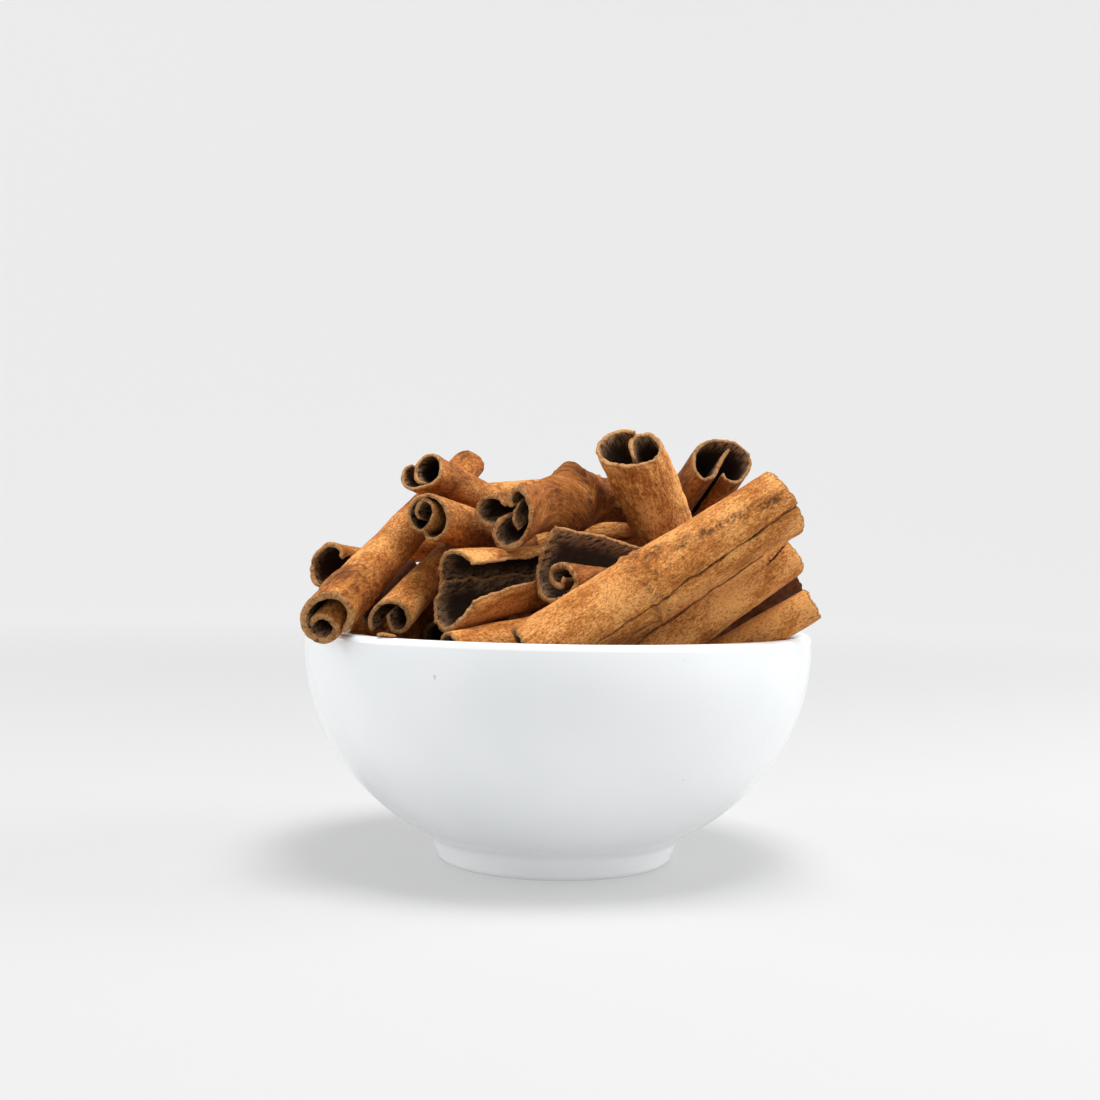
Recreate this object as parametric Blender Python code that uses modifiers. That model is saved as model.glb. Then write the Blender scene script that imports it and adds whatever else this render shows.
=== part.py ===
"""White footed bowl heaped with cinnamon sticks, each stick a rolled sheet of bark of its own.

The frame is the bowl's: +Z up, the origin under the middle of the foot, the front towards -Y.
Sizes are in millimetres in the tables below and are turned into metres where a mesh is made.
"""

import math
from dataclasses import dataclass

import bmesh
import bpy
from mathutils import Matrix, Vector

MM = 0.001

# Bowl
RIM_RADIUS = 65.0
BOWL_HEIGHT = 59.3
WALL = 3.4
LIP_STEPS = 5
SIDE_STEPS = 9
SHOULDER_Z = 55.4
SIDE_PULL = (65.0, 34.3)
WAIST_PULL = (51.6, 17.2)
WAIST = (36.2, 8.5)
FOOT_TOP = (31.6, 4.5)
FOOT_RADIUS = 30.4
FOOT_EDGE = 1.4
FOOT_RING = 4.2
FOOT_RECESS = 3.0
INNER_FLOOR_Z = 8.0
TURN_STEPS = 44

# Bark
COLUMN_TURN = 34.0
ROWS = 3
CLEARANCE = 0.35
WALL_GAP = 0.6

# Buried middle of the heap, (radius, height) from the bowl's wall to the top
CORE_TOP = ((58.2, 45.0), (52.0, 52.0), (38.0, 59.0), (20.0, 63.0), (0.0, 64.0))
CORE_STEPS = 24
CORE_REACH = 60.0
CUTTER_SIDES = 10

BARK_COLOUR = (0.46, 0.20, 0.072)
CORE_COLOUR = (0.16, 0.065, 0.022)
GLAZE_COLOUR = (0.80, 0.83, 0.86)

# How a sheet of bark is rolled: (share of the stick's radius, turn in degrees) for each arc of its
# middle line, from one torn edge to the other.
HOOK = ((1.0, 280), (0.5, 225))
SIDE_RING = ((1.0, 205), (0.5, 240))
SCROLL = ((0.9, 215), (0.72, 165), (0.56, 110), (0.42, 100), (0.3, 130))
LOBES = ((0.6, 130), (2.4, 24), (0.78, 120), (0.5, 215))
KNOBBY = ((0.42, 205), (1.8, 32), (0.92, 174), (0.42, 110))
GAPING = ((1.0, 318),)
ROLLED_LIP = ((1.0, 170), (0.46, 165), (0.25, 190))
PIPE = ((1.5, 10), (0.22, 80), (1.0, 330))
TONGUE = ((1.3, 24), (0.5, 125), (1.0, 210), (0.45, 112))
HEART = ((0.38, 165), (1.0, 222), (0.38, 140))
DOUBLE = ((0.38, 250), (1.1, 120), (0.38, 245))
CURL = ((1.0, 295), (0.5, 140))
SEAM = ((0.24, 75), (0.97, 306), (0.24, 75))


@dataclass(frozen=True)
class Stick:
    """One quill, from the middle of its near end to the middle of its far end."""

    name: str
    mouth: tuple
    tail: tuple
    radius: float
    tail_radius: float
    roll: tuple
    start: float
    hand: int
    bark: float
    gape: float = 0.0
    twist: float = 8.0
    bow: float = 0.0
    knots: tuple = ()


# start is the way the bark sets off from its first edge, in degrees counter-clockwise from the right
# as seen from the mouth; hand is 1 for a sheet that rolls counter-clockwise there and -1 for one
# that rolls clockwise. A knot is (place along the stick, height as a share of the radius, width).
STICKS = (
    Stick("rim_left", (-54.1, -44.5, 62.7), (-25.1, 23.6, 102.4), 6.4, 4.8, HOOK, 45, 1, 1.8,
          knots=((0.13, 0.05, 0.04),)),
    Stick("left_low", (-39.9, -41.5, 63.5), (-27.8, 5.3, 79.9), 5.0, 4.2, SIDE_RING, 85, -1, 1.2),
    Stick("left_back", (-56.7, -18.2, 74.3), (-44.4, 18.0, 72.1), 6.3, 5.4, HOOK, 130, 1, 1.3),
    Stick("scroll", (-31.3, -35.6, 86.8), (-10.0, 16.5, 83.1), 6.3, 5.4, SCROLL, -50, 1, 1.2),
    Stick("top_left", (-34.4, -25.3, 98.1), (-12.1, 24.7, 92.1), 6.1, 5.0, LOBES, 205, 1, 1.1),
    Stick("knuckle", (-13.5, -34.0, 87.0), (17.5, 8.5, 91.5), 7.9, 5.7, KNOBBY, -90, -1, 1.3,
          bow=5.6, knots=((0.42, 0.2, 0.09),)),
    Stick("gaping", (-25.2, -39.8, 69.6), (5.7, -11.6, 72.6), 8.9, 7.3, GAPING, 128, 1, 1.5, gape=0.24),
    Stick("open_roll", (0.0, -40.0, 77.0), (35.2, -12.0, 72.2), 9.4, 6.8, ROLLED_LIP, 185, 1, 1.6),
    Stick("upright", (17.0, -18.6, 105.1), (34.5, 7.0, 69.8), 8.2, 7.4, PIPE, 90, -1, 1.2),
    Stick("two_lobes", (43.5, 11.4, 104.3), (24.6, 39.2, 74.5), 9.4, 8.3, TONGUE, -120, -1, 1.1),
    Stick("long_front", (-6.9, -53.1, 55.6), (52.1, -41.7, 92.1), 7.7, 8.1, SEAM, -47, 1, 1.4,
          twist=36, knots=((0.45, 0.03, 0.03),)),
    Stick("right_second", (9.6, -42.2, 47.7), (55.9, -26.8, 78.6), 5.9, 5.7, SEAM, 54, 1, 1.2),
    Stick("right_third", (27.1, -28.0, 47.2), (61.3, -30.0, 69.1), 4.6, 4.2, CURL, -60, 1, 1.1),
    Stick("right_dark", (24.9, -19.5, 51.2), (59.6, -12.0, 72.0), 4.5, 4.3, DOUBLE, 90, 1, 1.0),
    Stick("front_low", (-25.4, -47.7, 55.5), (19.3, -21.5, 60.3), 5.7, 5.7, DOUBLE, 60, 1, 1.2),
    Stick("left_dark", (-32.2, -39.0, 57.0), (-16.7, 7.2, 60.1), 4.7, 4.5, CURL, 60, 1, 1.1),
    Stick("behind_open", (-4.0, 33.0, 79.5), (24.5, 11.5, 84.2), 5.3, 5.2, CURL, 60, 1, 1.1),
    Stick("behind_knuckle", (12.1, 26.5, 96.1), (-31.2, 43.1, 93.3), 5.3, 4.9, HEART, 60, 1, 1.2),
    Stick("back_left", (-44.9, 39.0, 66.7), (-10.3, -6.8, 72.7), 7.0, 6.0, HEART, -80, 1, 1.3),
    Stick("back_middle", (-18.9, 54.2, 69.7), (-2.0, -4.2, 62.8), 7.5, 6.5, SCROLL, 20, -1, 1.3),
    Stick("back_right", (11.4, 55.2, 68.3), (7.5, 2.1, 70.6), 6.5, 6.0, DOUBLE, -60, 1, 1.2),
    Stick("back_corner", (42.4, 41.5, 65.9), (9.9, 8.2, 57.5), 7.0, 6.2, HOOK, 100, 1, 1.4),
    Stick("back_across", (-43.6, 33.8, 81.0), (23.7, 50.5, 84.3), 6.5, 6.0, TONGUE, 80, 1, 1.2),
    Stick("side_right", (55.2, 4.6, 61.1), (11.5, -3.0, 52.2), 6.0, 5.6, CURL, 130, 1, 1.2),
    Stick("side_left", (-55.1, 5.5, 61.5), (-16.3, 17.6, 55.0), 6.0, 5.6, SIDE_RING, 40, 1, 1.2),
    Stick("under_left", (-42.1, -35.9, 53.6), (-32.3, 2.2, 65.7), 5.5, 5.3, HEART, 120, 1, 1.2),
    Stick("under_open", (3.3, -14.6, 57.5), (25.2, -5.4, 66.2), 5.3, 5.1, CURL, 200, 1, 1.2),
    Stick("under_back", (41.5, 36.3, 49.7), (0.7, 35.4, 59.0), 5.2, 5.0, HOOK, 10, 1, 1.1),
    Stick("under_corner", (-39.4, 27.7, 56.3), (-10.8, 38.2, 56.1), 4.4, 4.3, HEART, 80, 1, 1.1),
    Stick("under_side", (24.1, 9.9, 49.5), (41.8, 23.8, 57.8), 5.4, 5.2, CURL, 150, 1, 1.2),
    Stick("under_front", (-28.7, -30.7, 45.6), (-34.4, -3.8, 51.8), 5.0, 4.9, DOUBLE, 40, 1, 1.1),
)

MODEL = "bowl_of_cinnamon_sticks"
CUTTERS = "cutters"


def clear_scene():
    """Empties the scene and adds the two collections that everything below goes in."""
    for obj in list(bpy.data.objects):
        bpy.data.objects.remove(obj, do_unlink=True)
    for name in (MODEL, CUTTERS):
        bpy.context.scene.collection.children.link(bpy.data.collections.new(name))


def finish(name, colour, roughness, coat=0.0):
    """A plain Principled material."""
    material = bpy.data.materials.new(name)
    material.use_nodes = True
    shader = material.node_tree.nodes["Principled BSDF"]
    shader.inputs["Base Color"].default_value = (*colour, 1.0)
    shader.inputs["Roughness"].default_value = roughness
    shader.inputs["Metallic"].default_value = 0.0
    shader.inputs["Coat Weight"].default_value = coat
    return material


def bezier(start, pull_a, pull_b, end, steps):
    """Points on a cubic curve in the (radius, height) plane, the first one left out."""
    points = []
    for i in range(1, steps + 1):
        t = i / steps
        s = 1 - t
        weights = (s**3, 3 * s * s * t, 3 * s * t * t, t**3)
        points.append(
            tuple(
                sum(w * p[axis] for w, p in zip(weights, (start, pull_a, pull_b, end)))
                for axis in (0, 1)
            )
        )
    return points


def bowl_profile():
    """The bowl's half section: up the inside, over the lip, down the outside and under the foot."""
    lip_radius = WALL / 2
    lip_drop = BOWL_HEIGHT - lip_radius
    lip = [
        (
            RIM_RADIUS - lip_radius - lip_radius * math.cos(math.pi * i / LIP_STEPS),
            lip_drop + lip_radius * math.sin(math.pi * i / LIP_STEPS),
        )
        for i in range(LIP_STEPS + 1)
    ]
    outer_side = bezier((RIM_RADIUS, SHOULDER_Z), SIDE_PULL, WAIST_PULL, WAIST, SIDE_STEPS)
    foot = [
        FOOT_TOP,
        (FOOT_RADIUS, FOOT_EDGE),
        (FOOT_RADIUS - FOOT_EDGE, 0.0),
        (FOOT_RADIUS - FOOT_RING, 0.0),
        (FOOT_RADIUS - FOOT_RING - FOOT_EDGE, FOOT_RECESS),
        (0.0, FOOT_RECESS),
    ]
    return [(0.0, INNER_FLOOR_Z), *inner_side(), *lip, (RIM_RADIUS, SHOULDER_Z), *outer_side, *foot]


def turned(name, profile, steps, material, collection=MODEL):
    """A solid of revolution about Z, made by a Screw modifier from a (radius, height) profile."""
    mesh = bpy.data.meshes.new(name)
    points = [(r * MM, 0.0, z * MM) for r, z in profile]
    mesh.from_pydata(points, [(i, i + 1) for i in range(len(points) - 1)], [])
    obj = bpy.data.objects.new(name, mesh)
    bpy.data.collections[collection].objects.link(obj)
    screw = obj.modifiers.new("Turn", "SCREW")
    screw.steps = screw.render_steps = steps
    screw.use_merge_vertices = True
    screw.merge_threshold = 0.00001
    screw.use_smooth_shade = True
    mesh.materials.append(material)
    return obj


def bark_line(arcs, curl, spots):
    """Points on the rolled sheet's middle line, in shares of the stick's radius.

    Each arc keeps its length and is bent curl times as much, so a sheet with curl under 1 gapes
    evenly to both sides. A line with curl 1 sets off along +X, and every line turns to its left.
    spots are places along the line, each an (arc, share of that arc) pair.
    """
    heading = math.radians(sum(turn for _, turn in arcs)) * (1 - curl) / 2
    corner, runs = Vector((0.0, 0.0)), []
    for share, turn in arcs:
        bend = math.radians(turn) * curl
        radius = share / curl
        centre = corner + radius * Vector((-math.sin(heading), math.cos(heading)))
        runs.append((centre, radius, heading, bend))
        heading += bend
        corner = centre + radius * Vector((math.sin(heading), -math.cos(heading)))
    points = []
    for arc, share in spots:
        centre, radius, start, bend = runs[arc]
        angle = start + bend * share
        points.append(centre + radius * Vector((math.sin(angle), -math.cos(angle))))
    return points


def middle(points):
    """The middle of the box round some flat points."""
    return Vector([(min(p[a] for p in points) + max(p[a] for p in points)) / 2 for a in (0, 1)])


def bark_spots(arcs, column_turn):
    """Places along the middle line with about the same turn between them."""
    spots = [(0, 0.0)]
    for arc, (_, turn) in enumerate(arcs):
        count = max(1, round(turn / column_turn))
        spots += [(arc, (i + 1) / count) for i in range(count)]
    return spots


def stick_rows(stick):
    """Places along the stick, from mouth 0 to tail 1, with one on each side of a knot."""
    rows = [i / ROWS for i in range(ROWS + 1)]
    for place, _, width in stick.knots:
        rows += [place - width, place, place + width]
    return sorted(rows)


def radius_at(stick, v):
    """The stick's outer radius at v, knots included."""
    size = stick.radius + (stick.tail_radius - stick.radius) * v
    for place, height, width in stick.knots:
        size += height * stick.radius * math.exp(-(((v - place) / (0.6 * width)) ** 2))
    return size


def stick_frame(stick):
    """World placement of a stick: origin at the mouth, +Z out of it, +Y as near up as it goes."""
    mouth = Vector(stick.mouth) * MM
    out = (mouth - Vector(stick.tail) * MM).normalized()
    right = Vector((0, 0, 1)).cross(out).normalized()
    up = out.cross(right)
    turn = Matrix((right, up, out)).transposed()
    return Matrix.Translation(mouth) @ turn.to_4x4()


def make_stick(stick, material):
    """A flat grid of bark, rolled up and bent by bark_line, and thickened by Solidify."""
    length = (Vector(stick.mouth) - Vector(stick.tail)).length
    spots = bark_spots(stick.roll, COLUMN_TURN)
    rows = stick_rows(stick)
    sheet = bmesh.new()
    bmesh.ops.create_grid(sheet, x_segments=len(spots) - 1, y_segments=len(rows) - 1, size=0.5)
    sheet.verts.ensure_lookup_table()
    columns = len(spots)
    for row, v in enumerate(rows):
        curl = 1 - stick.gape * (1 - v) ** 2
        turn = Matrix.Rotation(math.radians(stick.start + stick.twist * v), 2)
        arch = stick.bow * 4 * v * (1 - v)
        line = bark_line(stick.roll, curl, spots)
        centre = middle(line)
        reach = max((point - centre).length for point in line)
        size = (radius_at(stick, v) - stick.bark / 2) / reach
        for column, point in enumerate(line):
            x, y = point - centre
            place = turn @ Vector((x, y * stick.hand)) * size
            sheet.verts[row * columns + column].co = (
                place.x * MM,
                (place.y + arch) * MM,
                -v * length * MM,
            )
    bmesh.ops.recalc_face_normals(sheet, faces=sheet.faces)
    mesh = bpy.data.meshes.new(stick.name)
    sheet.to_mesh(mesh)
    sheet.free()
    mesh.shade_smooth()
    mesh.set_sharp_from_angle(angle=math.radians(50))
    obj = bpy.data.objects.new(stick.name, mesh)
    bpy.data.collections[MODEL].objects.link(obj)
    obj.matrix_world = stick_frame(stick)
    bark = obj.modifiers.new("Bark", "SOLIDIFY")
    bark.thickness = stick.bark * MM
    bark.offset = 0.0
    bark.use_even_offset = True
    mesh.materials.append(material)
    return obj


def inner_side():
    """The bowl's inside, from the middle of its floor to under the lip."""
    return bezier(
        (0.0, INNER_FLOOR_Z),
        (WAIST_PULL[0] - 10, INNER_FLOOR_Z),
        (SIDE_PULL[0] - WALL, 26.0),
        (RIM_RADIUS - WALL, SHOULDER_Z),
        SIDE_STEPS,
    )


def make_bowl(material):
    """The footed bowl."""
    return turned("bowl", bowl_profile(), TURN_STEPS, material)


def stick_cutter(stick):
    """A round bar a little bigger than the stick, drawn out upwards, to lay the stick in the core."""
    bar = bmesh.new()
    length = (Vector(stick.mouth) - Vector(stick.tail)).length
    frame = stick_frame(stick)
    lift = Matrix.Translation((0, 0, CORE_REACH * MM))
    for v, radius in ((0, stick.radius), (1, stick.tail_radius)):
        beyond = CLEARANCE if v == 0 else -CLEARANCE
        ring = bmesh.ops.create_circle(
            bar,
            segments=CUTTER_SIDES,
            radius=(radius + CLEARANCE) / math.cos(math.pi / CUTTER_SIDES) * MM,
            matrix=frame @ Matrix.Translation((0, 0, (beyond - v * length) * MM)),
        )["verts"]
        for vert in ring:
            bar.verts.new(lift @ vert.co)
    hull = bmesh.ops.convex_hull(bar, input=bar.verts)
    spare = {e for e in hull["geom_interior"] + hull["geom_unused"] if isinstance(e, bmesh.types.BMVert)}
    bmesh.ops.delete(bar, geom=list(spare), context="VERTS")
    mesh = bpy.data.meshes.new("cutter_" + stick.name)
    bar.to_mesh(mesh)
    bar.free()
    obj = bpy.data.objects.new(mesh.name, mesh)
    obj.hide_render = True
    obj.display_type = "WIRE"
    bpy.data.collections[CUTTERS].objects.link(obj)
    return obj


def make_core(material):
    """The buried middle of the heap: a mound that fills the bowl, with a groove for each stick."""
    wall = [(r - WALL_GAP, z + WALL_GAP) for r, z in inner_side() if z < CORE_TOP[0][1]]
    profile = [(0.0, INNER_FLOOR_Z + WALL_GAP), *wall, *CORE_TOP]
    core = turned("buried_bark", profile, CORE_STEPS, material)
    for stick in STICKS:
        cut = core.modifiers.new("Groove for " + stick.name, "BOOLEAN")
        cut.operation = "DIFFERENCE"
        cut.solver = "EXACT"
        cut.object = stick_cutter(stick)
    return core


def main():
    clear_scene()
    glaze = finish("glaze", GLAZE_COLOUR, 0.18, 0.5)
    bark = finish("bark", BARK_COLOUR, 0.75)
    make_bowl(glaze)
    make_core(finish("buried_bark", CORE_COLOUR, 0.9))
    for stick in STICKS:
        make_stick(stick, bark)


main()
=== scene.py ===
"""Cinnamon sticks heaped in a white footed bowl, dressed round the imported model.

The frame is the part's: metres, +Z up, the origin under the middle of the bowl's foot and the
front towards -Y. Sizes in the tables are in millimetres and are turned into metres at the mesh.
"""

import logging
import math
from dataclasses import dataclass
from enum import Enum
from typing import Sequence

import bpy
import numpy as np
from mathutils import Matrix, Vector


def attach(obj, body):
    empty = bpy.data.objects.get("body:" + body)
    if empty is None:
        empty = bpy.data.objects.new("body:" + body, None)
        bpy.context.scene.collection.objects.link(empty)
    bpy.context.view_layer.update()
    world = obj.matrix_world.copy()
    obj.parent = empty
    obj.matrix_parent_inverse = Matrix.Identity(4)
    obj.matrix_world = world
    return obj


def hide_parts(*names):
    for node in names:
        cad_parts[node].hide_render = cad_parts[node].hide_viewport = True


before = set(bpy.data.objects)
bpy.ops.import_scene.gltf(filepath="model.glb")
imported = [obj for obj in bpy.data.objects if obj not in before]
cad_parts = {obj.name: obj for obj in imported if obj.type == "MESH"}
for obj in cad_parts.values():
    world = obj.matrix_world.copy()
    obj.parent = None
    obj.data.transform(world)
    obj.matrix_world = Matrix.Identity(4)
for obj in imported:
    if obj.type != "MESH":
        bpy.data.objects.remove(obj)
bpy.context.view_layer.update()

MM = 0.001
UV_SPAN = 200.0
FAR = 9.0
LINE_SAMPLES = 420
FAN_UV = 0.002
BROAD_KNOT = 0.1

log = logging.getLogger("cinnamon")

Point = tuple[float, float, float]
Pairs = tuple[tuple[float, float], ...]


class Roll(Enum):
    """How a sheet is rolled: (share of the radius, turn in degrees) of each arc in turn."""

    HEART = ((0.38, 165), (1.0, 222), (0.38, 140))
    CURL = ((1.0, 295), (0.5, 140))
    SCROLL = ((0.9, 215), (0.72, 165), (0.56, 110), (0.42, 100), (0.3, 130))
    DOUBLE = ((0.38, 250), (1.1, 120), (0.38, 245))
    HOOK = ((1.0, 280), (0.5, 225))
    RING = ((1.0, 205), (0.5, 240))
    TONGUE = ((1.3, 24), (0.5, 125), (1.0, 210), (0.45, 112))
    SEAM = ((1.0, 357),)


class Grain:
    """Smooth seeded noise on a plane, which repeats far beyond any stick."""

    CELLS = 97

    def __init__(self, seed: int) -> None:
        """Fills the lattice.

        Args:
            seed: The same seed always gives the same noise.
        """
        self.lattice = np.random.default_rng(seed).uniform(-1.0, 1.0, (self.CELLS, self.CELLS))

    def at(self, x: np.ndarray, y: np.ndarray) -> np.ndarray:
        """Noise between -1 and 1.

        The four lattice numbers round a place are blended by the smooth step 3t^2 - 2t^3 of its
        place between them, first along x and then along y.

        Args:
            x: Places along the first axis, one lattice cell per unit.
            y: Places along the second axis.

        Returns:
            The noise, in the shape that x and y broadcast to.
        """
        x, y = np.broadcast_arrays(np.asarray(x, float), np.asarray(y, float))
        cell_x, cell_y = np.floor(x).astype(int), np.floor(y).astype(int)
        part_x, part_y = x - cell_x, y - cell_y
        part_x = part_x * part_x * (3 - 2 * part_x)
        part_y = part_y * part_y * (3 - 2 * part_y)
        low_x, low_y = cell_x % self.CELLS, cell_y % self.CELLS
        high_x, high_y = (low_x + 1) % self.CELLS, (low_y + 1) % self.CELLS
        near = self.lattice[low_x, low_y] * (1 - part_x) + self.lattice[high_x, low_y] * part_x
        far = self.lattice[low_x, high_y] * (1 - part_x) + self.lattice[high_x, high_y] * part_x
        return near * (1 - part_y) + far * part_y

    def layered(self, x: np.ndarray, y: np.ndarray, layers: int) -> np.ndarray:
        """Noise summed over layers, each twice as fine and half as strong as the last."""
        total = np.zeros(np.broadcast(x, y).shape)
        for layer in range(layers):
            step = 2.0**layer
            total = total + self.at(x * step + 17.3 * layer, y * step + 9.1 * layer) / step
        return total


def smooth(low: float, high: float, value: np.ndarray) -> np.ndarray:
    """The smooth step 3t^2 - 2t^3 of value between low and high."""
    share = np.clip((value - low) / (high - low), 0.0, 1.0)
    return share * share * (3 - 2 * share)


def between(table: Pairs, v: np.ndarray) -> np.ndarray:
    """The table's second numbers, read off in straight lines at the places v of its first."""
    return np.interp(v, [row[0] for row in table], [row[1] for row in table])


def read_rows(lines: np.ndarray, share: np.ndarray) -> np.ndarray:
    """Each row of lines, read off in straight lines at the given shares of its length."""
    place = np.clip(share, 0.0, 1.0) * (lines.shape[1] - 1)
    low = np.clip(np.floor(place).astype(int), 0, lines.shape[1] - 2)
    part = place - low
    left = np.take_along_axis(lines, low, axis=1)
    right = np.take_along_axis(lines, low + 1, axis=1)
    return left * (1 - part) + right * part


@dataclass
class Surface:
    """A mesh in the making: points in metres, faces as corner lists, and what the finish reads."""

    points: np.ndarray
    faces: list[np.ndarray]
    corner_uv: list[np.ndarray]
    values: dict[str, np.ndarray]

    def joined(self, other: "Surface") -> "Surface":
        """This surface and another one as one."""
        step = len(self.points)
        return Surface(
            np.concatenate((self.points, other.points)),
            self.faces + [faces + step for faces in other.faces],
            self.corner_uv + other.corner_uv,
            {key: np.concatenate((self.values[key], other.values[key])) for key in self.values},
        )

    def build(self, name: str) -> bpy.types.Object:
        """Puts the arrays into a mesh.

        Args:
            name: The object's and the mesh's name.

        Returns:
            The new object, linked to the scene, with its place in its mesh.
        """
        mesh = bpy.data.meshes.new(name)
        mesh.vertices.add(len(self.points))
        mesh.vertices.foreach_set("co", self.points.astype(np.float32).ravel())
        corners = np.concatenate([faces.ravel() for faces in self.faces])
        counts = np.concatenate([np.full(len(faces), faces.shape[1]) for faces in self.faces])
        mesh.loops.add(len(corners))
        mesh.loops.foreach_set("vertex_index", corners.astype(np.int32))
        mesh.polygons.add(len(counts))
        mesh.polygons.foreach_set("loop_start", (np.cumsum(counts) - counts).astype(np.int32))
        mesh.update(calc_edges=True)
        layer = mesh.uv_layers.new(name="bark")
        corner_uv = np.concatenate([uv.ravel() for uv in self.corner_uv])
        layer.data.foreach_set("uv", corner_uv.astype(np.float32))
        for key, value in self.values.items():
            attribute = mesh.attributes.new(key, "FLOAT", "POINT")
            attribute.data.foreach_set("value", value.astype(np.float32))
        mesh.shade_smooth()
        mesh.validate()
        obj = bpy.data.objects.new(name, mesh)
        bpy.context.scene.collection.objects.link(obj)
        return obj


def ring_quads(rows: int, columns: int) -> np.ndarray:
    """Four-sided faces of a grid of rows by columns whose last column joins its first."""
    row = np.arange(rows - 1)[:, None] * columns
    column = np.arange(columns)[None, :]
    after = (column + 1) % columns
    return np.stack(
        (row + column, row + after, row + columns + after, row + columns + column), axis=-1
    ).reshape(-1, 4)


def rolled(roll: Roll, start: float, hand: int = 1) -> Pairs:
    """A sheet's path made of arcs, centred, with its farthest point at 1.

    Args:
        roll: The arcs, one after another without a corner.
        start: The first heading in degrees, against the clock from the viewer's right.
        hand: 1 rolls against the clock, -1 with it.

    Returns:
        The points of the path.
    """
    corners = [np.zeros((1, 2))]
    heading = math.radians(start) * hand
    for share, turn in roll.value:
        steps = max(2, round(turn / 20))
        bend = math.radians(turn) * np.arange(1, steps + 1) / steps
        swing = np.column_stack(
            (np.sin(heading + bend) - math.sin(heading), math.cos(heading) - np.cos(heading + bend))
        )
        corners.append(corners[-1][-1] + share * swing)
        heading += bend[-1]
    points = np.concatenate(corners) * (1, hand)
    points = points - (points.max(axis=0) + points.min(axis=0)) / 2
    points = points / np.linalg.norm(points, axis=1).max()
    return tuple((float(x), float(y)) for x, y in points)


@dataclass(frozen=True)
class Sheet:
    """One rolled sheet of bark in a stick, given as seen from the stick's mouth.

    path is its middle line in shares of the stick's radius, bark its thickness and torn how ragged
    its edges are, in millimetres. mouth_back, tail_back and cut (by share along the sheet) shorten
    it, and first_trim and last_trim (by place along the stick) narrow it. With wander its two edges
    meet in a seam that drifts that far. A crack is (share along the sheet, from, to) and a dark band
    (share at its start, share at its end, from, to, width); a band as wide as the sheet darkens all
    of it as painted shade.
    """

    path: Pairs
    bark: float = 1.2
    torn: float = 0.5
    mouth_back: float = 0.0
    tail_back: float = 0.0
    cut: Pairs = ((0.0, 0.0), (1.0, 0.0))
    wander: float = 0.0
    first_trim: Pairs = ((0.0, 0.0), (1.0, 0.0))
    last_trim: Pairs = ((0.0, 0.0), (1.0, 0.0))
    cracks: tuple[tuple[float, float, float], ...] = ()
    dark_bands: tuple[tuple[float, float, float, float, float], ...] = ()

    def line(self, samples: int) -> tuple[np.ndarray, np.ndarray, np.ndarray, float]:
        """The middle of the bark at the mouth, as a smooth curve through the path.

        Each stretch is the cubic 2t^3 - 3t^2 + 1, t^3 - 2t^2 + t, 3t^2 - 2t^3, t^3 - t^2 mix of its
        two ends and their slopes; the curve is then read off at equal steps of its length.

        Args:
            samples: How many points the curve gets.

        Returns:
            x, y and heading of each point, and the curve's length, in shares of the radius.
        """
        points = np.array(self.path)
        place = np.append(0.0, np.cumsum(np.linalg.norm(np.diff(points, axis=0), axis=1)))
        slope = np.gradient(points, place, axis=0)
        s = np.linspace(0.0, place[-1], 4 * samples)
        low = np.clip(np.searchsorted(place, s, side="right") - 1, 0, len(points) - 2)
        gap = (place[low + 1] - place[low])[:, None]
        t = (s - place[low])[:, None] / gap
        curve = (
            (2 * t**3 - 3 * t**2 + 1) * points[low]
            + (t**3 - 2 * t**2 + t) * gap * slope[low]
            + (3 * t**2 - 2 * t**3) * points[low + 1]
            + (t**3 - t**2) * gap * slope[low + 1]
        )
        run = np.append(0.0, np.cumsum(np.linalg.norm(np.diff(curve, axis=0), axis=1)))
        even = np.linspace(0.0, run[-1], samples)
        x, y = np.interp(even, run, curve[:, 0]), np.interp(even, run, curve[:, 1])
        heading = np.unwrap(np.arctan2(np.gradient(y), np.gradient(x)))
        return x, y, heading, float(run[-1])


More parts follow.
